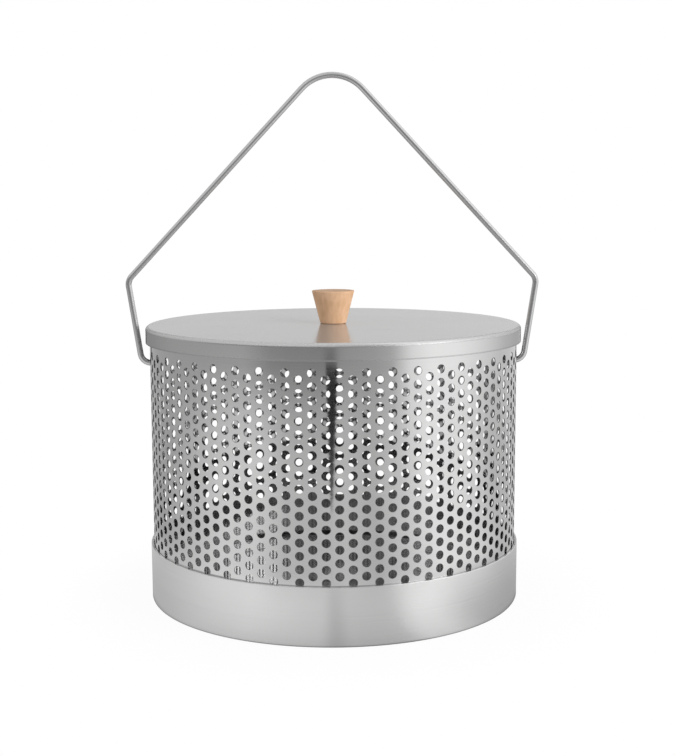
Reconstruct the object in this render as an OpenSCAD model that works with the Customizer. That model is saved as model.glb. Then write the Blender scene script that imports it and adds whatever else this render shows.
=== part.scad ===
// Perforated charcoal bucket with a base pan, a lid with a wooden knob and a swinging wire bail.
// The bucket stands on z = 0, its axis is Z, and the bail swings about an axis along X.

/* [Wall] */
// Outside diameter of the rolled, perforated wall
wall_diameter = 241; // [180:1:320]
// Thickness of the wall's sheet
wall_sheet = 0.6; // [0.5:0.1:1.4]
// From the centres of the top row of holes up to the rim
top_margin = 16.7; // [14:0.1:40]
// Length of the safe edge that is folded outward and down at the rim
rim_hem = 6; // [3:0.5:8]

/* [Perforation] */
// Diameter of one hole
hole_diameter = 5.5; // [3:0.1:6]
// Distance between the holes of one column, and about the distance between columns
hole_pitch = 8; // [7:0.1:12]
// Holes in one column
hole_rows = 16; // [8:1:22]
// From the pan's lip up to the centres of the lowest row of holes
first_row_rise = 1.9; // [0:0.1:6]

/* [Base pan] */
// Height of the pan's lip above the ground
pan_height = 36.6; // [24:0.1:60]
// Thickness of the pan's sheet
pan_sheet = 0.85; // [0.6:0.05:1.2]
// Radial play between the wall and the pan's lip
pan_clearance = 0.1; // [0:0.05:0.5]
// Length of the safe edge that is folded inward and down at the lip
lip_hem = 8; // [4:0.5:14]
// Inside radius of the bend between the pan's band and its foot
pan_bend = 0.2; // [0.1:0.05:0.6]
// Width of the foot ring that the pan stands on
foot_width = 14; // [8:0.5:30]
// Height of the floor inside the foot ring
floor_rise = 3.2; // [3:0.1:8]
// Inside radius of the two bends of the floor's step
floor_bend = 0.8; // [0.4:0.1:1]

/* [Lid] */
// Thickness of the lid's sheet
lid_sheet = 0.8; // [0.6:0.1:1.4]
// Radial play between the rim and the lid's skirt
lid_clearance = 1.2; // [0.8:0.1:3]
// Height of the lid over its skirt
lid_height = 10.5; // [7:0.5:16]
// Outside radius of the lid's pressed edge
lid_edge_radius = 2.4; // [1.8:0.1:2.5]

/* [Knob] */
// Diameter of the knob's top
knob_top_diameter = 28.4; // [22:0.2:50]
// Diameter of the knob's base
knob_base_diameter = 17.4; // [15:0.2:40]
// Height of the knob
knob_height = 21.6; // [18:0.2:50]
// Radius that eases the knob's top edge
knob_edge_radius = 0.8; // [0.2:0.1:2]
// Chamfer at the knob's base edge
knob_base_chamfer = 1; // [0.2:0.1:1.5]
// Diameter of the insert that is pressed into the knob
insert_diameter = 8; // [7:0.1:10]
// Length of the insert
insert_length = 10; // [6:0.5:14]
// Depth of the knob's bore beyond the insert
bore_relief = 2; // [0.5:0.5:3]
// Diameter of the screw
screw_diameter = 5; // [3:0.1:6]
// Diameter of the screw's head
screw_head_diameter = 9.5; // [8:0.1:12]
// Height of the screw's head
screw_head_height = 3; // [2.4:0.1:5]
// Radius of the screw head's rounded edge
screw_head_edge = 1.2; // [0.4:0.1:2]
// Width of the slots of the screw head's cross recess
recess_width = 1.2; // [0.8:0.1:1.6]
// Length of the slots of the screw head's cross recess
recess_length = 5; // [3:0.1:6]
// Depth of the screw head's cross recess
recess_depth = 1.6; // [0.8:0.1:2]
// Outside diameter of the washer
washer_diameter = 12; // [11:0.1:20]
// Thickness of the washer
washer_thickness = 1; // [0.5:0.1:2]
// Play of the screw in the washer and in the lid, on the diameter
screw_clearance = 0.4; // [0.2:0.1:1]

/* [Bail] */
// Play of the wire in the hole that it turns in, on the diameter
wire_play = 1.5; // [0.6:0.1:1.6]
// Row that carries the bail, counted down from the top row
pivot_row = 1; // [1:1:3]
// Length of the wire's end inside the wall
end_reach = 9; // [5:0.5:20]
// Chamfer at the wire's tips
tip_chamfer = 0.6; // [0.2:0.1:1]
// Gap between the lid's skirt and the wire's lower corner
bail_gap = 1.3; // [1:0.1:10]
// How far the knee lies outside the lower corner
knee_spread = 8.1; // [0:0.1:20]
// Height of the knee above the ends
knee_rise = 54.4; // [40:0.1:90]
// Slope of the arms above the ground, in degrees
arm_slope = 47; // [35:0.1:55]
// Centreline radius of the lower corners
corner_radius = 7; // [3.5:0.5:7]
// Centreline radius of the knees
knee_radius = 8; // [4:0.5:20]
// Centreline radius of the crown, where the hand holds the bail
crown_radius = 27; // [10:0.5:60]

/* [Hidden] */
$fn = 96;
// A cut runs past the faces that it goes through by this much
cut = 1;

// The columns of holes come in eights, so that raised columns lie on both sides of X
columns = 8 * round(PI * wall_diameter / (8 * hole_pitch));
column_angle = 360 / columns;
wall_radius = wall_diameter / 2;
first_row = pan_height + first_row_rise;
top_row = first_row + (hole_rows - 0.5) * hole_pitch;
rim_height = top_row + top_margin;
// Each column of holes lies on its own narrow flat, and the corners between the flats have the wall's radius
flat_apothem = wall_radius * cos(column_angle / 2);

pan_radius = wall_radius + pan_clearance + 2 * pan_sheet;
pan_outer_bend = pan_bend + pan_sheet;
foot_inner_radius = pan_radius - foot_width;
floor_outer_bend = floor_bend + pan_sheet;
step_radius = foot_inner_radius - floor_bend - floor_outer_bend;

lid_top = rim_height + lid_sheet;
lid_radius = wall_radius + wall_sheet + lid_clearance + lid_sheet;
screw_hole = screw_diameter + screw_clearance;
screw_reach = washer_thickness + lid_sheet + insert_length;

wire_diameter = hole_diameter - wire_play;
pivot_height = top_row - pivot_row * hole_pitch;
corner_x = lid_radius + bail_gap + wire_diameter / 2;
knee_x = corner_x + knee_spread;
knee_height = pivot_height + knee_rise;
end_x = wall_radius - wall_sheet - end_reach;
crown_vertex = knee_height + knee_x * tan(arm_slope);
// The wire's centreline as corners in the XZ plane, from one end to the other, with a bend radius at each corner
bail_points = [[-end_x, pivot_height], [-corner_x, pivot_height], [-knee_x, knee_height], [0, crown_vertex],
               [knee_x, knee_height], [corner_x, pivot_height], [end_x, pivot_height]];
bail_radii = [0, corner_radius, knee_radius, crown_radius, knee_radius, corner_radius, 0];
// Cold bending swells the wire a little, and each straight run reaches this far into its bends
bend_swell = 0.03;
bend_overlap = 0.3;

// A strip of sheet in a profile, between two corners given as [radius, height]
module strip(from, to) {
  translate(from)
    square(to - from);
}

// A quarter bend of sheet in a profile, whose side is the quadrant that it fills, such as [1, -1] for out and down
module quarter_bend(centre, inside, thickness, side) {
  outside = inside + thickness;
  translate(centre)
    intersection() {
      difference() {
        circle(outside);
        circle(inside);
      }
      translate([min(0, side.x), min(0, side.y)] * outside)
        square(outside);
    }
}

// A closed half fold at the top of an edge, whose two layers meet at its centre
module fold(centre, sheet) {
  translate(centre)
    intersection() {
      circle(sheet);
      translate([-sheet, 0])
        square([2 * sheet, sheet]);
    }
}

// Half of the pan's section: floor, step, foot ring, band and folded lip
module pan_profile() {
  step_height = floor_rise + pan_sheet - floor_outer_bend;
  strip([0, floor_rise], [step_radius, floor_rise + pan_sheet]);
  quarter_bend([step_radius, step_height], floor_bend, pan_sheet, [1, 1]);
  strip([step_radius + floor_bend, floor_outer_bend], [step_radius + floor_outer_bend, step_height]);
  quarter_bend([foot_inner_radius, floor_outer_bend], floor_bend, pan_sheet, [-1, -1]);
  strip([foot_inner_radius, 0], [pan_radius - pan_outer_bend, pan_sheet]);
  quarter_bend([pan_radius - pan_outer_bend, pan_outer_bend], pan_bend, pan_sheet, [1, -1]);
  strip([pan_radius - pan_sheet, pan_outer_bend], [pan_radius, pan_height - pan_sheet]);
  strip([pan_radius - 2 * pan_sheet, pan_height - lip_hem], [pan_radius - pan_sheet, pan_height - pan_sheet]);
  fold([pan_radius - pan_sheet, pan_height - pan_sheet], pan_sheet);
}

module base_pan() {
  color("gainsboro")
    rotate_extrude()
      pan_profile();
}

// A ring of sheet with one flat side for each column of holes, given by the apothem of its outer side
module flat_sided_ring(apothem, height) {
  linear_extrude(height)
    difference() {
      column_polygon(apothem);
      column_polygon(apothem - wall_sheet);
    }
}

// A polygon with one side for each column of holes, and a column in the middle of each side
module column_polygon(apothem) {
  corner = apothem / cos(column_angle / 2);
  polygon([for (i = [0:columns - 1]) corner * [cos((i + 0.5) * column_angle), sin((i + 0.5) * column_angle)]]);
}

// One column of punches, raised by half a pitch on every other column
module hole_column(raised) {
  for (row = [0:hole_rows - 1])
    translate([flat_apothem - wall_sheet - cut, 0, first_row + (row + (raised ? 0.5 : 0)) * hole_pitch])
      rotate([0, 90, 0])
        cylinder(h = wall_sheet + 2 * cut, d = hole_diameter);
}

module perforated_wall() {
  color("silver")
    difference() {
      union() {
        translate([0, 0, pan_sheet])
          flat_sided_ring(flat_apothem, rim_height - pan_sheet);
        translate([0, 0, rim_height - rim_hem])
          flat_sided_ring(flat_apothem + wall_sheet, rim_hem - wall_sheet);
      }
      for (column = [0:columns - 1])
        rotate([0, 0, column * column_angle])
          hole_column(column % 2 == 0);
    }
}

// Half of the lid's section, without the screw's hole
module lid_profile() {
  bend_inside = lid_edge_radius - lid_sheet;
  bend_centre = [lid_radius - lid_edge_radius, lid_top - lid_edge_radius];
  strip([0, lid_top - lid_sheet], [bend_centre.x, lid_top]);
  quarter_bend(bend_centre, bend_inside, lid_sheet, [1, 1]);
  strip([lid_radius - lid_sheet, lid_top - lid_height], [lid_radius, bend_centre.y]);
}

module lid() {
  color("lightgray")
    difference() {
      rotate_extrude()
        lid_profile();
      translate([0, 0, lid_top - lid_sheet - cut])
        cylinder(h = lid_sheet + 2 * cut, d = screw_hole);
    }
}

// Half of the knob's section: a straight taper with an eased top edge and a chamfered base
module knob_profile() {
  top = knob_top_diameter / 2;
  base = knob_base_diameter / 2;
  taper = atan2(top - base, knob_height);
  edge_centre = [top - knob_edge_radius * (1 + sin(taper)) / cos(taper), knob_height - knob_edge_radius];
  edge_out = edge_centre + knob_edge_radius * [cos(taper), -sin(taper)];
  chamfer_out = base + knob_base_chamfer * tan(taper);
  polygon([[0, 0], [base - knob_base_chamfer, 0], [chamfer_out, knob_base_chamfer], edge_out,
           [edge_centre.x, knob_height], [0, knob_height]]);
  intersection() {
    translate(edge_centre)
      circle(knob_edge_radius);
    translate(edge_centre - [0, knob_edge_radius])
      square(2 * knob_edge_radius);
  }
}

module lid_knob() {
  color("burlywood")
    translate([0, 0, lid_top])
      difference() {
        rotate_extrude()
          knob_profile();
        translate([0, 0, -cut])
          cylinder(h = insert_length + bore_relief + cut, d = insert_diameter);
      }
}

module knob_insert() {
  color("goldenrod")
    translate([0, 0, lid_top])
      difference() {
        cylinder(h = insert_length, d = insert_diameter);
        translate([0, 0, -cut])
          cylinder(h = insert_length + 2 * cut, d = screw_diameter);
      }
}

// The head's section, with a flat bearing face upward and a rounded edge below
module screw_head_profile() {
  radius = screw_head_diameter / 2;
  strip([0, -screw_head_height], [radius - screw_head_edge, 0]);
  strip([radius - screw_head_edge, screw_head_edge - screw_head_height], [radius, 0]);
  quarter_bend([radius - screw_head_edge, screw_head_edge - screw_head_height], 0, screw_head_edge, [1, -1]);
}

module knob_screw() {
  color("silver")
    translate([0, 0, rim_height - washer_thickness])
      difference() {
        union() {
          rotate_extrude()
            screw_head_profile();
          cylinder(h = screw_reach, d = screw_diameter);
        }
        for (turn = [0, 90])
          rotate([0, 0, turn])
            translate([-recess_length / 2, -recess_width / 2, -screw_head_height - cut])
              cube([recess_length, recess_width, recess_depth + cut]);
      }
}

module knob_washer() {
  color("silver")
    translate([0, 0, rim_height - washer_thickness])
      difference() {
        cylinder(h = washer_thickness, d = washer_diameter);
        translate([0, 0, -cut])
          cylinder(h = washer_thickness + 2 * cut, d = screw_hole);
      }
}

// Along the bail: the heading of each run, how far the wire turns at each corner, and what a bend takes from a run
function direction(angle) = [cos(angle), sin(angle)];
function heading(i) =
  let (run = bail_points[i + 1] - bail_points[i])
  atan2(run.y, run.x);
function is_bend(i) = i > 0 && i < len(bail_points) - 1;
function turn_at(i) = is_bend(i) ? (heading(i - 1) - heading(i) + 360) % 360 : 0;
function bend_length(i) = bail_radii[i] * tan(turn_at(i) / 2);
function run_trim(i) = is_bend(i) ? bend_length(i) - bend_overlap : 0;

// One straight run of wire, from just inside one bend to just inside the next
module wire_run(i) {
  start = bail_points[i] + run_trim(i) * direction(heading(i));
  end = bail_points[i + 1] - run_trim(i + 1) * direction(heading(i));
  translate(start)
    rotate([0, 0, heading(i)])
      rotate([0, 90, 0])
        cylinder(h = norm(end - start), d = wire_diameter);
}

// One bend of wire, which always turns to the right
module wire_bend(i) {
  start = bail_points[i] - bend_length(i) * direction(heading(i - 1));
  centre = start + bail_radii[i] * direction(heading(i - 1) - 90);
  translate(centre)
    rotate([0, 0, heading(i - 1) + 90 - turn_at(i)])
      rotate_extrude(angle = turn_at(i))
        translate([bail_radii[i], 0])
          circle(d = wire_diameter + 2 * bend_swell);
}

// A chamfered tip that carries on from an end of the wire, toward the bucket's axis
module wire_tip() {
  translate([end_x, pivot_height])
    rotate([0, -90, 0])
      cylinder(h = tip_chamfer, d1 = wire_diameter, d2 = wire_diameter - 2 * tip_chamfer);
}

module bail_handle() {
  color("darkgray")
    rotate([90, 0, 0]) {
      for (i = [0:len(bail_points) - 2])
        wire_run(i);
      for (i = [1:len(bail_points) - 2])
        wire_bend(i);
      wire_tip();
      mirror([1, 0, 0])
        wire_tip();
    }
}

base_pan();
perforated_wall();
lid();
lid_knob();
knob_insert();
knob_screw();
knob_washer();
bail_handle();
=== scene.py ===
import math
from functools import partial

import bmesh
import bpy
from mathutils import Matrix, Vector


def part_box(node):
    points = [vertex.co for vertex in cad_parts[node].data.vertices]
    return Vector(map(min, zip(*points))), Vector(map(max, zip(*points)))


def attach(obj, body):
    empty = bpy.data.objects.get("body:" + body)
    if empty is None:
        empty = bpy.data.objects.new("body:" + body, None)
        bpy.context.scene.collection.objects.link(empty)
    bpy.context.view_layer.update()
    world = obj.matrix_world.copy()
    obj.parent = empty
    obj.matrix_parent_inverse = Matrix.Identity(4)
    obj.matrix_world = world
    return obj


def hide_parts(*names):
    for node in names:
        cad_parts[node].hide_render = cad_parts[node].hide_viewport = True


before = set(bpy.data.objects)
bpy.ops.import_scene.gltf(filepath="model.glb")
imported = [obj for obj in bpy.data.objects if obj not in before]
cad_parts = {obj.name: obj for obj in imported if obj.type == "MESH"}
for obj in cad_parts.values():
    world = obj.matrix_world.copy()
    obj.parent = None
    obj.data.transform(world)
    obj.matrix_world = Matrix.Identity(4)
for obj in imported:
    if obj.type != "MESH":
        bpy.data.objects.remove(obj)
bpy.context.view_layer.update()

# Base pan: one stainless sheet, pressed to a shallow pan that the perforated wall stands in.
# Its band is brushed round the circumference, its lip is folded inward and pressed flat,
# and its floor is raised inside a foot ring, so that the pan stands on the ring alone.
pan_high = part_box("base_pan")[1]
pan_sheet = 0.00085
pan_bend = 0.0002
lip_hem = 0.008
lip_corner = 0.0003
foot_width = 0.014
floor_rise = 0.0032
floor_slope = 35
floor_bend_share = 0.45
pan_segments = 256
merge_distance = 1e-6
band_light = (0.74, 0.74, 0.735, 1)
band_dark = (0.64, 0.64, 0.64, 1)
pan_inside = (0.7, 0.12)  # a grey and a roughness, as every finish of raw faces
grain_range = (0.6, 1.4)
grain_depth = 0.0001
quarter_turn = 0.25
inside_lean = 0.3


def arc(centre, radius, start, end, steps):
    """Points along a round stretch of a profile, between two angles in degrees."""
    angles = [math.radians(start + (end - start) * step / steps) for step in range(steps + 1)]
    return [(centre[0] + radius * math.cos(a), centre[1] + radius * math.sin(a)) for a in angles]


def held(profile, margin=0.0003):
    """The profile with a point close to each end of its long straight stretches, so that shading
    stays flat there."""
    points = []
    for (r0, z0), (r1, z1) in zip(profile, profile[1:]):
        length = math.hypot(r1 - r0, z1 - z0)
        points.append((r0, z0))
        if length > 4 * margin:
            for share in (margin / length, 1 - margin / length):
                points.append((r0 + (r1 - r0) * share, z0 + (z1 - z0) * share))
    return points + [profile[-1]]


def turn_profile(shell, profile, segments):
    """Adds the skin that a profile of (radius, height) points sweeps round Z.
    A point on the axis becomes one pole."""
    turns = [2 * math.pi * i / segments for i in range(segments)]
    rings = []
    for radius, height in profile:
        ring = [(radius * math.cos(t), radius * math.sin(t), height) for t in turns]
        spots = ring if radius else [(0, 0, height)]
        rings.append([shell.verts.new(spot) for spot in spots])
    for lower, upper in zip(rings, rings[1:]):
        for i in range(segments):
            j = (i + 1) % segments
            corners = [lower[i % len(lower)], lower[j % len(lower)]]
            corners += [upper[j % len(upper)], upper[i % len(upper)]]
            shell.faces.new(list(dict.fromkeys(corners)))


def shade(mesh, sharp):
    """Smooth shading, with the edges kept sharp past an angle in degrees."""
    mesh.shade_smooth()
    mesh.set_sharp_from_angle(angle=math.radians(sharp))


def finish_piece(name, shell, material=None):
    """Makes a mesh object of a shell, with its doubles merged and its faces outward."""
    bmesh.ops.remove_doubles(shell, verts=shell.verts, dist=merge_distance)
    bmesh.ops.recalc_face_normals(shell, faces=shell.faces)
    mesh = bpy.data.meshes.new(name)
    shell.to_mesh(mesh)
    shell.free()
    shade(mesh, sharp=35)
    if material:
        mesh.materials.append(material)
    piece = bpy.data.objects.new(name, mesh)
    bpy.context.collection.objects.link(piece)
    return piece


def mark_faces(piece, mark, how_much):
    """Marks each face from 0 to 1, by how far its normal points out and up and by its height."""
    marks = []
    for face in piece.data.polygons:
        x, y, height = face.center
        leaning = x * face.normal[0] + y * face.normal[1]
        outward = leaning / max(math.hypot(x, y), 1e-9)
        marks.append(how_much(outward, face.normal[2], height))
    piece.data.attributes.new(mark, "FLOAT", "FACE").data.foreach_set("value", marks)


def add_node(tree, kind, inputs, **settings):
    """Adds a node with its settings. An input takes a socket to link from, or a plain value."""
    made = tree.nodes.new(kind)
    for setting, value in settings.items():
        setattr(made, setting, value)
    for name, value in inputs.items():
        if isinstance(value, bpy.types.NodeSocket):
            tree.links.new(value, made.inputs[name])
        else:
            made.inputs[name].default_value = value
    return made


def calc(tree, operation, *values):
    """The result of one math node."""
    inputs = dict(enumerate(values))
    return add_node(tree, "ShaderNodeMath", inputs, operation=operation).outputs[0]


def spread(tree, value, given=(0, 1), wanted=(0, 1), smooth=False):
    """A value carried over from one range to another and held at its ends."""
    ranges = {"From Min": given[0], "From Max": given[1], "To Min": wanted[0], "To Max": wanted[1]}
    way = "SMOOTHSTEP" if smooth else "LINEAR"
    mapped = add_node(
        tree, "ShaderNodeMapRange", {"Value": value, **ranges}, interpolation_type=way
    )
    return mapped.outputs[0]


def mix_colours(tree, share, first, second):
    """A mix of two colours, each given as a socket or as a plain colour."""
    inputs = {"Factor": share, "A": first, "B": second}
    return add_node(tree, "ShaderNodeMix", inputs, data_type="RGBA").outputs["Result"]


def face_mark(tree, name):
    """The share that mark_faces gave to each face."""
    return add_node(tree, "ShaderNodeAttribute", {}, attribute_name=name).outputs["Fac"]


def group_sockets(tree, inputs, outputs):
    """Gives a node group its named inputs and outputs, each with its kind of socket."""
    for way, sockets in (("INPUT", inputs), ("OUTPUT", outputs)):
        for name, kind in sockets.items():
            tree.interface.new_socket(name, in_out=way, socket_type="NodeSocket" + kind)


def new_material(name):
    """An empty material whose output a shader can be linked to, with its node tree."""
    material = bpy.data.materials.new(name)
    material.use_nodes = True
    tree = material.node_tree
    tree.nodes.clear()
    return material, tree


# Sheet steel carries grinding lines along one direction and faint clouds from handling.
sheet_grain = bpy.data.node_groups.new("sheet_grain", "ShaderNodeTree")
group_sockets(
    sheet_grain,
    {"Line Density": "Vector", "Cloud Density": "Float"},
    {"Lines": "Float", "Clouds": "Float"},
)
grain_in = sheet_grain.nodes.new("NodeGroupInput").outputs
grain_place = add_node(sheet_grain, "ShaderNodeTexCoord", {}).outputs["Object"]
grain_stretch = add_node(
    sheet_grain,
    "ShaderNodeVectorMath",
    {0: grain_place, 1: grain_in["Line Density"]},
    operation="MULTIPLY",
)
grain_lines = add_node(
    sheet_grain,
    "ShaderNodeTexNoise",
    {"Vector": grain_stretch.outputs[0], "Scale": 1, "Detail": 5, "Roughness": 0.65},
)
grain_clouds = add_node(
    sheet_grain,
    "ShaderNodeTexNoise",
    {"Vector": grain_place, "Scale": grain_in["Cloud Density"], "Detail": 3},
)
add_node(
    sheet_grain,
    "NodeGroupOutput",
    {"Lines": grain_lines.outputs[0], "Clouds": grain_clouds.outputs[0]},
)


def steel(
    name,
    light,
    dark,
    lines,
    roughness,
    relief,
    clouds=30,
    stretch=0,
    grazing=1,
    satin=0,
    raw=(0.2, 0.42),
):
    """Metal with grinding lines, given as densities along X, Y and Z, and a range of roughness.
    Stretch draws its reflections out across lines that run round the bucket, and grazing dims
    them where the sheet is seen edge on. Faces marked satin scatter that share of the light, and
    faces marked raw take a grey and a roughness of their own: mostly faces the grinding didn't
    reach, but on the lid's skirt the darker grey is a painted shade along its lower edge."""
    material, tree = new_material(name)
    grain = add_node(
        tree,
        "ShaderNodeGroup",
        {"Line Density": lines, "Cloud Density": clouds},
        node_tree=sheet_grain,
    ).outputs
    tint = mix_colours(tree, grain["Lines"], dark, light)
    texture = calc(tree, "ADD", grain["Lines"], grain["Clouds"])
    ground = spread(tree, texture, grain_range, roughness)
    raw_grey, raw_roughness = raw
    raw_and_shade_share = face_mark(tree, "raw_and_shaded_face")
    finish = {"Factor": raw_and_shade_share, "A": ground, "B": raw_roughness}
    relief_of_lines = {"Height": grain["Lines"], "Strength": relief, "Distance": grain_depth}
    metal = 1
    if satin:
        metal = spread(tree, face_mark(tree, "satin_face"), wanted=(1, 1 - satin))
    surface = add_node(
        tree,
        "ShaderNodeBsdfPrincipled",
        {
            "Base Color": mix_colours(tree, raw_and_shade_share, tint, (raw_grey, raw_grey, raw_grey, 1)),
            "Metallic": metal,
            "Roughness": add_node(tree, "ShaderNodeMix", finish).outputs[0],
            "Anisotropic": stretch,
            "Anisotropic Rotation": quarter_turn,
            "Specular Tint": (grazing, grazing, grazing, 1),
            "Normal": add_node(tree, "ShaderNodeBump", relief_of_lines).outputs[0],
        },
    )
    add_node(tree, "ShaderNodeOutputMaterial", {"Surface": surface.outputs[0]})
    return material


pan_radius = pan_high[0]
lip_top = pan_high[2]
inner_radius = pan_radius - pan_sheet
hem_radius = inner_radius - pan_sheet
outer_bend = pan_bend + pan_sheet
step_bend = floor_rise / (1 - math.cos(math.radians(floor_slope)))
floor_bend = floor_bend_share * step_bend
ring_bend = step_bend - floor_bend
foot_inner = pan_radius - foot_width
step_radius = foot_inner - step_bend * math.sin(math.radians(floor_slope))
step_height = floor_rise - floor_bend
floor_top = floor_rise + pan_sheet
corner_height = lip_top - lip_corner
hem_foot = lip_top - lip_hem
pan_profile = (
    [(0, floor_rise)]
    + arc((step_radius, step_height), floor_bend, 90, 90 - floor_slope, 6)
    + arc((foot_inner, ring_bend), ring_bend, 270 - floor_slope, 270, 6)
    + arc((pan_radius - outer_bend, outer_bend), outer_bend, 270, 360, 6)
    + arc((pan_radius - lip_corner, corner_height), lip_corner, 0, 90, 4)
    + arc((hem_radius + lip_corner, corner_height), lip_corner, 90, 180, 4)
    + [(hem_radius, hem_foot), (inner_radius, hem_foot)]
    + arc((inner_radius - pan_bend, outer_bend), pan_bend, 0, -90, 4)
    + arc((foot_inner, ring_bend), ring_bend - pan_sheet, 270, 270 - floor_slope, 6)
    + arc((step_radius, step_height), floor_bend + pan_sheet, 90 - floor_slope, 90, 6)
    + [(0, floor_top)]
)
band_steel = steel(
    "band_steel",
    band_light,
    band_dark,
    lines=(5, 5, 2200),
    roughness=(0.2, 0.26),
    relief=0.015,
    stretch=0.9,
    raw=pan_inside,
)
pan_shell = bmesh.new()
turn_profile(pan_shell, held(pan_profile), pan_segments)
base_pan = finish_piece("base_pan_pressing", pan_shell, band_steel)


def pan_rawness(outward, up, height):
    """The inside of the pan isn't brushed, neither its side nor its floor."""
    on_floor = up > inside_lean and height < lip_top / 2
    return 1 if outward < -inside_lean or on_floor else 0


mark_faces(base_pan, "raw_and_shaded_face", pan_rawness)
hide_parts("base_pan")
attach(base_pan, "bucket")

# Perforated wall: one sheet with a staggered pattern of punched holes, rolled to a cylinder and
# welded. Its lower margin stands in the pan and its rim is folded outward, where the lid's skirt
# covers it. The sheet is bright, so the surroundings show in it more clearly than in the band.
wall_low, wall_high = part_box("perforated_wall")
wall_sheet = 0.0006
wall_radius = wall_high[0] - wall_sheet
wall_inner = wall_radius - wall_sheet
rim_hem = 0.006
hole_radius = 0.00275
hole_pitch = 0.008
hole_columns = 96
hole_rows = 16
first_row_rise = 0.0019
lowest_row = lip_top + first_row_rise
hole_sides = 16
tile_steps = hole_sides // 4
tile_width = 2 * math.pi * wall_radius / hole_columns
seam_distance = 2e-5
wall_light = (0.62, 0.62, 0.615, 1)
wall_dark = (0.56, 0.56, 0.56, 1)
wall_inside = (0.36, 0.02)
wall_inside_share = 0.65
lower_margin_share = 0.75
cut_lean = 0.5


def tile_border():
    """A tile's border as (along, up) points, from its right lower corner round to the left."""
    sides = (((1, -1), (0, 1)), ((1, 1), (-1, 0)), ((-1, 1), (0, -1)), ((-1, -1), (1, 0)))
    spots = []
    for corner, way in sides:
        for step in range(tile_steps):
            share = 2 * step / tile_steps
            along = (corner[0] + way[0] * share) * tile_width / 2
            spots.append((along, (corner[1] + way[1] * share) * hole_pitch / 2))
    return spots


def hole_tile():
    """One flat tile of sheet with a punched hole: outer face, hole wall and inner face, open at
    its border. The hole's first point lies an eighth of a turn back, towards the border's."""
    tile = bmesh.new()
    border = tile_border()
    turns = [2 * math.pi * (i / hole_sides - 1 / 8) for i in range(hole_sides)]
    hole = [(hole_radius * math.cos(t), hole_radius * math.sin(t)) for t in turns]
    loops = []
    for outline, depth in ((border, 0), (hole, 0), (hole, wall_sheet), (border, wall_sheet)):
        loops.append([tile.verts.new((x, depth, z)) for x, z in outline])
    for first, second in zip(loops, loops[1:]):
        for i in range(hole_sides):
            j = (i + 1) % hole_sides
            tile.faces.new([first[i], first[j], second[j], second[i]])
    return finish_piece("hole_tile", tile)


def plain_tile():
    """Half a tile with no hole, which fills a column's end, with the same border points as its
    neighbours."""
    tile = bmesh.new()
    half_steps = tile_steps // 2
    across = [(i / tile_steps - 0.5) * tile_width for i in range(tile_steps + 1)]
    for depth in (0, wall_sheet):
        grid = []
        for up in range(half_steps + 1):
            height = (up / half_steps - 0.5) * hole_pitch / 2
            grid.append([tile.verts.new((x, depth, height)) for x in across])
        for lower, upper in zip(grid, grid[1:]):
            for i in range(tile_steps):
                tile.faces.new([lower[i], lower[i + 1], upper[i + 1], upper[i]])
    return finish_piece("plain_tile", tile)


def dress(tree, geometry, material):
    """Ends a geometry node tree: real geometry with a material on it."""
    real = add_node(tree, "GeometryNodeRealizeInstances", {"Geometry": geometry})
    dressed = add_node(
        tree,
        "GeometryNodeSetMaterial",
        {"Geometry": real.outputs[0], "Material": material},
    )
    add_node(tree, "NodeGroupOutput", {"Geometry": dressed.outputs[0]})


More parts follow.
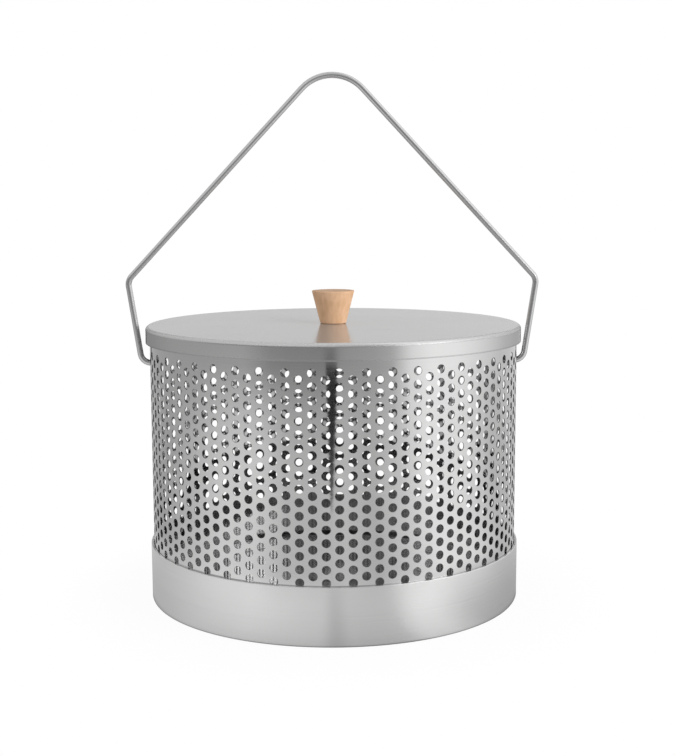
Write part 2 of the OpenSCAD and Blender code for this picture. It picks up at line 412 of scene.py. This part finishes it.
def perforation_tree():
    """Lays hole tiles in staggered columns along an unrolled sheet, rolls it up and joins it to
    the plain margins."""
    tree = bpy.data.node_groups.new("rolled_perforation", "GeometryNodeTree")
    inputs = {
        "Geometry": "Geometry",
        "Hole Tile": "Object",
        "Plain Tile": "Object",
        "Columns": "Int",
        "Rows": "Int",
        "Pitch": "Float",
        "Lowest Row": "Float",
        "Radius": "Float",
        "Material": "Material",
    }
    group_sockets(tree, inputs, {"Geometry": "Geometry"})
    start = tree.nodes.new("NodeGroupInput").outputs
    maths = partial(calc, tree)

    def vector(x, y, z):
        return add_node(tree, "ShaderNodeCombineXYZ", {"X": x, "Y": y, "Z": z}).outputs[0]

    index = add_node(tree, "GeometryNodeInputIndex", {}).outputs[0]
    turn_step = maths("DIVIDE", 2 * math.pi, start["Columns"])
    width = maths("MULTIPLY", turn_step, start["Radius"])

    # A raised column stands half a pitch above its neighbours, and the first column is a raised one
    column = maths("FLOOR", maths("DIVIDE", maths("ADD", index, 0.5), start["Rows"]))
    row = maths("SUBTRACT", index, maths("MULTIPLY", column, start["Rows"]))
    raised = maths("SUBTRACT", 1, maths("MODULO", column, 2))
    pitches_up = maths("MULTIPLY_ADD", raised, 0.5, row)
    hole_up = maths("MULTIPLY_ADD", pitches_up, start["Pitch"], start["Lowest Row"])
    hole_spots = add_node(
        tree,
        "GeometryNodePoints",
        {
            "Count": maths("MULTIPLY", start["Columns"], start["Rows"]),
            "Position": vector(maths("MULTIPLY", column, width), 0, hole_up),
        },
    )

    # Each column is filled with half a tile, a raised one below its holes and the others above
    end_raised = maths("SUBTRACT", 1, maths("MODULO", index, 2))
    end_rise = maths("MULTIPLY", maths("SUBTRACT", 1, end_raised), start["Rows"])
    end_pitches = maths("SUBTRACT", end_rise, 0.25)
    end_up = maths("MULTIPLY_ADD", end_pitches, start["Pitch"], start["Lowest Row"])
    end_spots = add_node(
        tree,
        "GeometryNodePoints",
        {"Count": start["Columns"], "Position": vector(maths("MULTIPLY", index, width), 0, end_up)},
    )

    flat_sheet = tree.nodes.new("GeometryNodeJoinGeometry")
    for spots, tile in ((hole_spots, "Hole Tile"), (end_spots, "Plain Tile")):
        shape = add_node(tree, "GeometryNodeObjectInfo", {"Object": start[tile]})
        laid = add_node(
            tree,
            "GeometryNodeInstanceOnPoints",
            {"Points": spots.outputs[0], "Instance": shape.outputs["Geometry"]},
        )
        tree.links.new(laid.outputs[0], flat_sheet.inputs[0])
    sheet = add_node(tree, "GeometryNodeRealizeInstances", {"Geometry": flat_sheet.outputs[0]})

    place = add_node(tree, "GeometryNodeInputPosition", {}).outputs[0]
    along = add_node(tree, "ShaderNodeSeparateXYZ", {"Vector": place}).outputs
    turn = maths("DIVIDE", along["X"], start["Radius"])
    reach = maths("SUBTRACT", start["Radius"], along["Y"])
    rolled_place = vector(
        maths("MULTIPLY", reach, maths("COSINE", turn)),
        maths("MULTIPLY", reach, maths("SINE", turn)),
        along["Z"],
    )
    rolled = add_node(
        tree,
        "GeometryNodeSetPosition",
        {"Geometry": sheet.outputs[0], "Position": rolled_place},
    )
    whole = tree.nodes.new("GeometryNodeJoinGeometry")
    tree.links.new(rolled.outputs[0], whole.inputs[0])
    tree.links.new(start["Geometry"], whole.inputs[0])
    welded = add_node(
        tree,
        "GeometryNodeMergeByDistance",
        {"Geometry": whole.outputs[0], "Distance": seam_distance},
    )
    dress(tree, welded.outputs[0], start["Material"])
    return tree


def grow(piece, tree, values):
    """Runs a geometry node tree on a piece and keeps the result as the piece's plain mesh."""
    modifier = piece.modifiers.new(tree.name, "NODES")
    modifier.node_group = tree
    for name, value in values.items():
        modifier[tree.interface.items_tree[name].identifier] = value
    depsgraph = bpy.context.evaluated_depsgraph_get()
    mesh = bpy.data.meshes.new_from_object(piece.evaluated_get(depsgraph))
    piece.modifiers.clear()
    piece.data = mesh


wall_steel = steel(
    "wall_steel",
    wall_light,
    wall_dark,
    lines=(25, 25, 900),
    roughness=(0.05, 0.1),
    relief=0.008,
    raw=wall_inside,
)
holes_from = lowest_row - hole_pitch / 2
holes_to = lowest_row + hole_rows * hole_pitch
rim_top = wall_high[2]
rim_foot = rim_top - rim_hem
lower_margin = [
    (wall_radius, holes_from),
    (wall_radius, wall_low[2]),
    (wall_inner, wall_low[2]),
    (wall_inner, holes_from),
]
upper_margin = (
    [(wall_radius, holes_to), (wall_radius, rim_foot), (wall_radius + wall_sheet, rim_foot)]
    + arc((wall_radius, rim_top - wall_sheet), wall_sheet, 0, 180, 8)
    + [(wall_inner, holes_to)]
)
wall_shell = bmesh.new()
for margin in (lower_margin, upper_margin):
    turn_profile(wall_shell, margin, hole_columns * tile_steps)
perforated_wall = finish_piece("rolled_perforated_sheet", wall_shell)
tiles = [hole_tile(), plain_tile()]
grow(
    perforated_wall,
    perforation_tree(),
    {
        "Hole Tile": tiles[0],
        "Plain Tile": tiles[1],
        "Columns": hole_columns,
        "Rows": hole_rows,
        "Pitch": hole_pitch,
        "Lowest Row": lowest_row,
        "Radius": wall_radius,
        "Material": wall_steel,
    },
)
for tile in tiles:
    bpy.data.objects.remove(tile)

# The faces of the joined tiles and margins are turned outward together
wall_skin = bmesh.new()
wall_skin.from_mesh(perforated_wall.data)
bmesh.ops.recalc_face_normals(wall_skin, faces=wall_skin.faces)
wall_skin.to_mesh(perforated_wall.data)
wall_skin.free()
shade(perforated_wall.data, sharp=40)


def wall_rawness(outward, up, height):
    """The punched edges of the holes are raw. The inside of the sheet takes part of a darker grey
    and a lower roughness, its lower margin more.
    """
    if outward > cut_lean or height > rim_foot:
        return 0
    if outward > -cut_lean:
        return 1
    return lower_margin_share if height < holes_from else wall_inside_share


mark_faces(perforated_wall, "raw_and_shaded_face", wall_rawness)
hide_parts("perforated_wall")
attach(perforated_wall, "bucket")

# Lid: one stainless sheet pressed to a flat top with a rounded edge and a short skirt.
# It has a satin finish, rests on the wall's rim and is pierced in the middle for the knob's screw.
lid_low, lid_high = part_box("lid")
lid_sheet = 0.0008
lid_edge = 0.0024
screw_hole = 0.0027
trim_height = 0.0009
lid_segments = 256
lid_light = (0.63, 0.63, 0.625, 1)
lid_dark = (0.57, 0.57, 0.57, 1)
lid_satin = 0.42
lid_raw_and_shade = (0.45, 0.42)
lid_inside_raw = 0.8
# share of the darker grey on the skirt's lowest band, a painted shade along its lower edge
trim_raw_and_painted_shade = 0.75
rounding_raw = 0.45
rounding_up = (0.02, 0.99)
level_face = 0.9
lid_radius = lid_high[0]
lid_top = lid_high[2]
trim_top = lid_low[2] + trim_height
edge_centre = (lid_radius - lid_edge, lid_top - lid_edge)
lid_profile = (
    [(screw_hole, lid_top - lid_sheet), (screw_hole, lid_top)]
    + arc(edge_centre, lid_edge, 90, 0, 8)
    + [(lid_radius, trim_top), (lid_radius, lid_low[2]), (lid_radius - lid_sheet, lid_low[2])]
    + arc(edge_centre, lid_edge - lid_sheet, 0, 90, 8)
    + [(screw_hole, lid_top - lid_sheet)]
)
lid_steel = steel(
    "lid_steel",
    lid_light,
    lid_dark,
    lines=(15, 2500, 2500),
    roughness=(0.13, 0.17),
    relief=0.015,
    grazing=0.65,
    satin=lid_satin,
    raw=lid_raw_and_shade,
)
lid_shell = bmesh.new()
turn_profile(lid_shell, held(lid_profile), lid_segments)
lid = finish_piece("pressed_lid", lid_shell, lid_steel)


def lid_rawness_and_shade(outward, up, height):
    """The inside of the lid is mostly raw, and the pressed rounding a little. The lowest band of
    the skirt takes the raw grey and roughness too, its darker grey a painted shade along the
    skirt's lower edge."""
    if outward < -inside_lean or up < -level_face:
        return lid_inside_raw
    # painted shade: the skirt's lowest band is darkened along its lower edge
    if height < trim_top:
        return trim_raw_and_painted_shade
    return rounding_raw if rounding_up[0] < up < rounding_up[1] else 0


mark_faces(lid, "raw_and_shaded_face", lid_rawness_and_shade)
mark_faces(lid, "satin_face", lambda outward, up, height: max(up, 0) ** 2)
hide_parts("lid")
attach(lid, "lid_assembly")

# Knob: beech, turned with the grain along its axis to a straight taper, and lightly oiled.
# Its edges are eased, and its base is bored for the threaded insert.
knob_low, knob_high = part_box("lid_knob")
knob_edge = 0.0004
knob_foot = 0.001
knob_base = 0.0087
knob_bore = 0.004
bore_depth = 0.012
knob_segments = 128
beech_light = (0.69, 0.44, 0.275, 1)
beech_dark = (0.6, 0.365, 0.21, 1)
beech_fleck = (0.4, 0.22, 0.11, 1)
beech_end = (0.43, 0.27, 0.165, 1)
beech_roughness = (0.5, 0.66)
beech_gloss = 0.3
streak_density = (420, 420, 45)
streak_relief = 0.15
patch_density = 110
figure_range = (0.8, 1.22)
fleck_density = (1500, 1500, 300)
fleck_range = (0.62, 0.74)
fleck_share = 0.3
end_grain_share = 0.7


def beech():
    """Beech: pale pinkish brown with soft growth streaks and short dark flecks along the grain,
    darker on its ends."""
    material, tree = new_material("beech")
    place = add_node(tree, "ShaderNodeTexCoord", {}).outputs["Object"]

    def noise(density, **values):
        scaled = add_node(tree, "ShaderNodeMapping", {"Vector": place, "Scale": density})
        inputs = {"Vector": scaled.outputs[0], "Scale": 1, **values}
        return add_node(tree, "ShaderNodeTexNoise", inputs).outputs[0]

    streaks = noise(streak_density, Detail=4, Distortion=0.4)
    flecks = noise(fleck_density, Detail=2)
    patches = {"Vector": place, "Scale": patch_density, "Detail": 2}
    figure = calc(tree, "ADD", streaks, add_node(tree, "ShaderNodeTexNoise", patches).outputs[0])
    tint = mix_colours(tree, spread(tree, figure, figure_range), beech_dark, beech_light)
    fleck_mask = spread(tree, flecks, fleck_range, (0, fleck_share))
    marked = mix_colours(tree, fleck_mask, tint, beech_fleck)
    pores = {"Height": streaks, "Strength": streak_relief, "Distance": grain_depth}
    surface = add_node(
        tree,
        "ShaderNodeBsdfPrincipled",
        {
            "Base Color": mix_colours(tree, face_mark(tree, "end_grain"), marked, beech_end),
            "Roughness": spread(tree, streaks, wanted=beech_roughness),
            "Specular IOR Level": beech_gloss,
            "Normal": add_node(tree, "ShaderNodeBump", pores).outputs[0],
        },
    )
    add_node(tree, "ShaderNodeOutputMaterial", {"Surface": surface.outputs[0]})
    return material


knob_bottom = knob_low[2]
knob_top = knob_high[2]
knob_radius = knob_high[0]
knob_taper = math.degrees(math.atan2(knob_radius - knob_base, knob_top - knob_bottom))
bore_end = knob_bottom + bore_depth
knob_profile = (
    [(0, bore_end), (knob_bore, bore_end), (knob_bore, knob_bottom)]
    + arc((knob_base - knob_foot, knob_bottom + knob_foot), knob_foot, -90, -knob_taper, 5)
    + arc((knob_radius - knob_edge, knob_top - knob_edge), knob_edge, -knob_taper, 90, 8)
    + [(0, knob_top)]
)
knob_shell = bmesh.new()
turn_profile(knob_shell, held(knob_profile), knob_segments)
lid_knob = finish_piece("turned_knob", knob_shell, beech())


def end_grain(outward, up, height):
    """The top and the base of the knob show end grain."""
    return end_grain_share if abs(up) > level_face else 0


mark_faces(lid_knob, "end_grain", end_grain)
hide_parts("lid_knob")
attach(lid_knob, "lid_assembly")

# Knob fixings: a brass insert pressed into the wood, and a steel screw with a washer from under the
# lid. They hold the knob to the lid, and only the screw's head and the washer show, from below.
# They keep their CAD meshes.
brass_light = (0.78, 0.57, 0.25, 1)
brass_dark = (0.66, 0.46, 0.18, 1)
zinc_light = (0.62, 0.63, 0.65, 1)
zinc_dark = (0.5, 0.51, 0.53, 1)
brass = steel(
    "machined_brass",
    brass_light,
    brass_dark,
    lines=(40, 40, 3000),
    roughness=(0.22, 0.34),
    relief=0.08,
    clouds=200,
)
zinc = steel(
    "zinc_plate",
    zinc_light,
    zinc_dark,
    lines=(900, 900, 900),
    roughness=(0.25, 0.42),
    relief=0.05,
    clouds=250,
)
for fixing, finish in (("knob_insert", brass), ("knob_screw", zinc), ("knob_washer", zinc)):
    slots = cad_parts[fixing].data.materials
    slots.clear()
    slots.append(finish)

# Bail: one drawn steel wire, bent cold to a pointed arch with a rounded crown for the hand.
# Its ends turn inward through a hole on each side of the wall, the second from the top of a raised
# column, and are chamfered. It swings in them.
wire_radius = 0.002
bail_pivot = lowest_row + (hole_rows - 1.5) * hole_pitch
end_reach = 0.009
bail_end = wall_inner - end_reach
tip_chamfer = 0.0006
lid_clearance = 0.0013
arm_lean = 0.0081
arm_rise = 0.0544
corner_x = lid_radius + lid_clearance + wire_radius
knee_x = corner_x + arm_lean
knee_height = bail_pivot + arm_rise
arm_slope = 47
corner_bend = 0.007
knee_bend = 0.008
crown_bend = 0.027
bend_steps = 14
wire_sides = 20
wire_light = (0.57, 0.57, 0.575, 1)
wire_dark = (0.49, 0.49, 0.49, 1)


def wire_tree():
    """Rounds each corner of a line by its own bend radius, and gives the line a round section that
    each point's own thickness scales."""
    tree = bpy.data.node_groups.new("bent_wire", "GeometryNodeTree")
    inputs = {
        "Geometry": "Geometry",
        "Wire Radius": "Float",
        "Bend Steps": "Int",
        "Sides": "Int",
        "Material": "Material",
    }
    group_sockets(tree, inputs, {"Geometry": "Geometry"})
    start = tree.nodes.new("NodeGroupInput").outputs

    def own(name):
        kind = "GeometryNodeInputNamedAttribute"
        return add_node(tree, kind, {"Name": name}, data_type="FLOAT").outputs[0]

    line = add_node(tree, "GeometryNodeMeshToCurve", {"Mesh": start["Geometry"]})
    rounded = add_node(
        tree,
        "GeometryNodeFilletCurve",
        {"Curve": line.outputs[0], "Count": start["Bend Steps"], "Radius": own("bend_radius")},
        mode="POLY",
    )
    section = add_node(
        tree,
        "GeometryNodeCurvePrimitiveCircle",
        {"Resolution": start["Sides"], "Radius": start["Wire Radius"]},
    )
    wire = add_node(
        tree,
        "GeometryNodeCurveToMesh",
        {
            "Curve": rounded.outputs[0],
            "Profile Curve": section.outputs[0],
            "Scale": own("thickness"),
            "Fill Caps": True,
        },
    )
    dress(tree, wire.outputs[0], start["Material"])
    return tree


crown_point = knee_height + knee_x * math.tan(math.radians(arm_slope))
tip_thickness = 1 - tip_chamfer / wire_radius
half_bail = [
    (bail_end - tip_chamfer, bail_pivot, 0, tip_thickness),
    (bail_end, bail_pivot, 0, 1),
    (corner_x, bail_pivot, corner_bend, 1),
    (knee_x, knee_height, knee_bend, 1),
]
other_half = [(-x, z, bend, thick) for x, z, bend, thick in reversed(half_bail)]
bail_line = half_bail + [(0, crown_point, crown_bend, 1)] + other_half
bail_mesh = bpy.data.meshes.new("bail_line")
bail_edges = [(i, i + 1) for i in range(len(bail_line) - 1)]
bail_mesh.from_pydata([(x, 0, z) for x, z, bend, thick in bail_line], bail_edges, [])
bends = bail_mesh.attributes.new("bend_radius", "FLOAT", "POINT")
thicknesses = bail_mesh.attributes.new("thickness", "FLOAT", "POINT")
for i, (x, z, bend, thick) in enumerate(bail_line):
    bends.data[i].value = bend
    thicknesses.data[i].value = thick
bail = bpy.data.objects.new("bent_wire_bail", bail_mesh)
bpy.context.collection.objects.link(bail)
wire_steel = steel(
    "wire_steel",
    wire_light,
    wire_dark,
    lines=(200, 200, 200),
    roughness=(0.2, 0.26),
    relief=0.006,
    clouds=60,
)
grow(
    bail,
    wire_tree(),
    {
        "Wire Radius": wire_radius,
        "Bend Steps": bend_steps,
        "Sides": wire_sides,
        "Material": wire_steel,
    },
)
shade(bail.data, sharp=40)
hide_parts("bail_handle")
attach(bail, "bail")

# Studio: a white floor and soft light from the right and from above, seen by the camera as white.
# To rays from the steel the floor glows by itself in zones round the bucket, painted light that
# stands in for how it is lit, and above it the world's light shows. Each table gives (turn, level):
# 0 degrees is the front, where the camera is, and positive turns go to the right.
near_light = [
    (-180, 0.57), (-100, 0.77), (-80, 0.87), (-65, 0.99), (-50, 1.16), (-33, 1.24),
    (-20, 1.16), (-6, 1.06), (-1, 0.77), (4, 0.94), (21, 0.88), (29, 1.28),
    (38, 1.28), (45, 1.09), (54, 0.86), (66, 0.76), (85, 0.68), (180, 0.57),
]
middle_light = [
    (-180, 0.6), (-115, 0.5), (-82, 0.78), (-60, 0.99), (-42, 0.97), (-26, 0.75),
    (-11, 0.72), (4, 0.78), (19, 0.67), (35, 0.89), (53, 1.23), (74, 1.14),
    (102, 0.72), (140, 0.65), (180, 0.65),
]
far_light = [
    (-180, 0.8), (-155, 0.5), (-112, 0.49), (-86, 0.47), (-54, 0.47), (-37, 0.3),
    (-14, 0.29), (-5, 0.29), (3, 0.4), (22, 0.47), (32, 0.56), (43, 1.1),
    (57, 1.3), (74, 1.28), (92, 1.09), (118, 0.8), (150, 0.78), (180, 0.8),
]
room_light = [
    (-180, 0.8), (-150, 0.8), (-110, 0.72), (-70, 0.42), (-40, 0.36), (10, 0.36),
    (30, 0.5), (42, 0.8), (50, 1.2), (90, 1.2), (125, 1.1), (155, 0.95), (180, 0.8),
]
strip_light = [
    (-180, 0.08), (-168, 0.08), (-155, 0.8), (-110, 0.75), (-70, 0.4), (-45, 0.32),
    (25, 0.32), (32, 1.3), (38, 4.2), (70, 4.2), (82, 0.95), (115, 0.75),
    (155, 0.85), (168, 0.08), (180, 0.08),
]
ceiling_light = [
    (-180, 0.95), (-90, 0.85), (-50, 0.95), (-25, 0.95), (0, 0.8), (38, 0.68),
    (48, 1.3), (58, 1.5), (85, 1.5), (120, 1.05), (180, 0.95),
]
brightest = 4.2  # the highest level, which white stands for in the ramps

# Each zone begins between two distances on the floor, or between two rises of a direction above it
floor_zones = (("Middle", (0.19, 0.27)), ("Far", (0.45, 1.6)))
sky_zones = (("Room", (0.01, 0.07)), ("Strip", (0.247, 0.254)), ("Ceiling", (0.32, 0.338)))
gap_turn = -2.7
gap_half_width = 3.4
gap_reach = (0.45, 1.45)
gap_flare = 0.6
gap_blur = (-0.15, 0.35)
gap_end_blur = 1.01
gap_level = 0.0294
# The floor's glow as the steel sees it is painted light: black under the bucket's foot as a painted
# contact shadow, and dimmed by foot_shade nearer the foot as painted shade
contact_shadow_reach = (0.119, 0.126)
foot_shade = 0.62
foot_reach = (0.126, 0.23)
shadow_reach = (0.125, 0.2)
shadow_share = 0.05
floor_paint = (0.8, 0.8, 0.8, 1)
white = (1, 1, 1, 1)
fill_light = 0.45
floor_size = 6
floor_drop = 0.0002


def surroundings_tree():
    """How bright the studio looks in one direction from the bucket: the floor in three zones, and
    the room, the strip light and the ceiling above it."""
    tree = bpy.data.node_groups.new("studio_surroundings", "ShaderNodeTree")
    plans = {
        "Near": near_light,
        "Middle": middle_light,
        "Far": far_light,
        "Room": room_light,
        "Strip": strip_light,
        "Ceiling": ceiling_light,
    }
    outputs = {zone: "Color" for zone in plans}
    group_sockets(tree, {"Direction": "Vector"}, {**outputs, "Turn": "Float"})
    start = tree.nodes.new("NodeGroupInput").outputs
    split = add_node(tree, "ShaderNodeSeparateXYZ", {"Vector": start["Direction"]}).outputs
    turn = calc(tree, "ARCTAN2", split["X"], calc(tree, "MULTIPLY", split["Y"], -1))
    share = spread(tree, turn, (-math.pi, math.pi))
    ends = {"Turn": calc(tree, "MULTIPLY", turn, 180 / math.pi)}
    for zone, plan in plans.items():
        ramp = add_node(tree, "ShaderNodeValToRGB", {"Fac": share})
        stops = ramp.color_ramp.elements
        while len(stops) < len(plan):
            stops.new(0.5)
        for stop, (angle, level) in zip(stops, plan):
            stop.position = angle / 360 + 0.5
            stop.color = (level / brightest, level / brightest, level / brightest, 1)
        ends[zone] = ramp.outputs[0]
    add_node(tree, "NodeGroupOutput", ends)
    return tree


def blend_zones(tree, around, first, place, others):
    """The light of the first zone, which each other one takes over as a place passes its edge."""
    seen = around[first]
    for zone, edge in others:
        seen = mix_colours(tree, spread(tree, place, edge, smooth=True), seen, around[zone])
    return seen


def mix_shaders(tree, share, first, second):
    """A mix of two shaders."""
    return add_node(tree, "ShaderNodeMixShader", {0: share, 1: first, 2: second}).outputs[0]


def by_ray(tree, to_camera, in_steel, to_others):
    """One shader for the camera, one for what shows in or through a piece, and one for the rest."""
    path = tree.nodes.new("ShaderNodeLightPath").outputs
    by_way_of_piece = calc(tree, "MAXIMUM", path["Is Glossy Ray"], path["Is Transmission Ray"])
    unseen = mix_shaders(tree, by_way_of_piece, to_others, in_steel)
    return mix_shaders(tree, path["Is Camera Ray"], unseen, to_camera)


def studio_floor(surroundings):
    """A white floor with a faint shadow. To rays from the steel it glows by itself in zones of
    painted light, with a painted contact shadow round the bucket's foot and painted shade near it.
    One dark gap in that glow, in front, widens with its distance."""
    material, tree = new_material("studio_floor")
    maths = partial(calc, tree)
    place = add_node(tree, "ShaderNodeTexCoord", {}).outputs["Object"]
    around = add_node(tree, "ShaderNodeGroup", {"Direction": place}, node_tree=surroundings).outputs
    length = add_node(tree, "ShaderNodeVectorMath", {0: place}, operation="LENGTH")
    distance = length.outputs["Value"]
    seen = blend_zones(tree, around, "Near", distance, floor_zones)

    # a dark gap in the painted glow, in front of the bucket, widening with its distance
    aside = maths("ABSOLUTE", maths("SUBTRACT", around["Turn"], gap_turn))
    flare = maths("POWER", spread(tree, distance, gap_reach), gap_flare)
    from_edge = maths("SUBTRACT", maths("MULTIPLY", flare, gap_half_width), aside)
    gap_end = (gap_reach[1], gap_reach[1] * gap_end_blur)
    gap = maths(
        "MULTIPLY",
        spread(tree, from_edge, gap_blur, smooth=True),
        spread(tree, distance, gap_end, (1, 0)),
    )
    gap_grey = gap_level / brightest
    seen = mix_colours(tree, gap, seen, (gap_grey, gap_grey, gap_grey, 1))

    # painted contact shadow under the foot and painted shade near it, in the floor's glow
    under = spread(tree, distance, contact_shadow_reach, (0, brightest))
    strength = maths("MULTIPLY", under, spread(tree, distance, foot_reach, (foot_shade, 1)))
    in_steel = add_node(tree, "ShaderNodeEmission", {"Color": seen, "Strength": strength})
    paint = add_node(tree, "ShaderNodeBsdfDiffuse", {"Color": floor_paint})
    backdrop = add_node(tree, "ShaderNodeEmission", {"Color": white, "Strength": 1})
    shadow = spread(tree, distance, shadow_reach, (shadow_share, 0), smooth=True)
    to_camera = mix_shaders(tree, shadow, backdrop.outputs[0], paint.outputs[0])
    surface = by_ray(tree, to_camera, in_steel.outputs[0], paint.outputs[0])
    add_node(tree, "ShaderNodeOutputMaterial", {"Surface": surface})
    return material


def studio_world(surroundings):
    """White to the camera, to the steel the surroundings above the floor, and a soft fill light."""
    world = bpy.data.worlds.new("studio")
    world.use_nodes = True
    tree = world.node_tree
    tree.nodes.clear()
    direction = add_node(tree, "ShaderNodeTexCoord", {}).outputs["Generated"]
    around = add_node(tree, "ShaderNodeGroup", {"Direction": direction}, node_tree=surroundings)
    height = add_node(tree, "ShaderNodeSeparateXYZ", {"Vector": direction}).outputs["Z"]
    seen = blend_zones(tree, around.outputs, "Far", height, sky_zones)
    in_steel = add_node(tree, "ShaderNodeBackground", {"Color": seen, "Strength": brightest})
    backdrop = add_node(tree, "ShaderNodeBackground", {"Color": white, "Strength": 1})
    fill = add_node(tree, "ShaderNodeBackground", {"Color": white, "Strength": fill_light})
    surface = by_ray(tree, backdrop.outputs[0], in_steel.outputs[0], fill.outputs[0])
    add_node(tree, "ShaderNodeOutputWorld", {"Surface": surface})
    return world


surroundings = surroundings_tree()
floor_mesh = bpy.data.meshes.new("studio_floor")
floor_corners = [
    (x * floor_size / 2, y * floor_size / 2, -floor_drop)
    for x, y in ((-1, -1), (1, -1), (1, 1), (-1, 1))
]
floor_mesh.from_pydata(floor_corners, [], [(0, 1, 2, 3)])
floor_mesh.materials.append(studio_floor(surroundings))
floor = bpy.data.objects.new("studio_floor", floor_mesh)
bpy.context.collection.objects.link(floor)
bpy.context.scene.world = studio_world(surroundings)

# Each lamp has a place, a turn in degrees, a size in metres and a power in watts
for name, place, turn, size, power in (
    ("right_softbox", (1.45, -1, 0.75), (72, 0, 55), 1.2, 34.5),
    ("overhead_softbox", (0, 0.1, 1.7), (0, 0, 0), 1.6, 2),
    ("left_fill", (-1.5, -0.6, 0.9), (62, 0, -68), 1.2, 8),
):
    lamp = bpy.data.lights.new(name, "AREA")
    lamp.size = size
    lamp.energy = power
    holder = bpy.data.objects.new(name, lamp)
    holder.location = place
    holder.rotation_euler = [math.radians(angle) for angle in turn]
    holder.visible_glossy = False
    bpy.context.collection.objects.link(holder)

# Camera: a short telephoto a little above the lid, almost in front of the bail's plane.
# Its place and lens come from the photograph's hole lattice, lid, pan and bail.
camera_distance = 0.8566
camera_height = 0.2609
camera_turn = -1.54
camera_aim = 1.72
camera_tilt = 7.818
camera_roll = -0.25
lens_pixels = 1299.6
frame_pixels = 756
camera_data = bpy.data.cameras.new("camera")
camera_data.sensor_fit = "VERTICAL"
camera_data.sensor_height = 36
camera_data.lens = lens_pixels * camera_data.sensor_height / frame_pixels
camera = bpy.data.objects.new("camera", camera_data)
camera_side = math.radians(camera_turn)
camera_x = camera_distance * math.sin(camera_side)
camera_y = -camera_distance * math.cos(camera_side)
camera.location = (camera_x, camera_y, camera_height)
camera_pose = Matrix.Rotation(math.radians(-camera_aim), 3, "Z")
camera_pose = camera_pose @ Matrix.Rotation(math.radians(90 - camera_tilt), 3, "X")
camera_pose = camera_pose @ Matrix.Rotation(math.radians(camera_roll), 3, "Z")
camera.rotation_euler = camera_pose.to_euler()
bpy.context.collection.objects.link(camera)
bpy.context.scene.camera = camera
bpy.context.scene.view_settings.view_transform = "Standard"
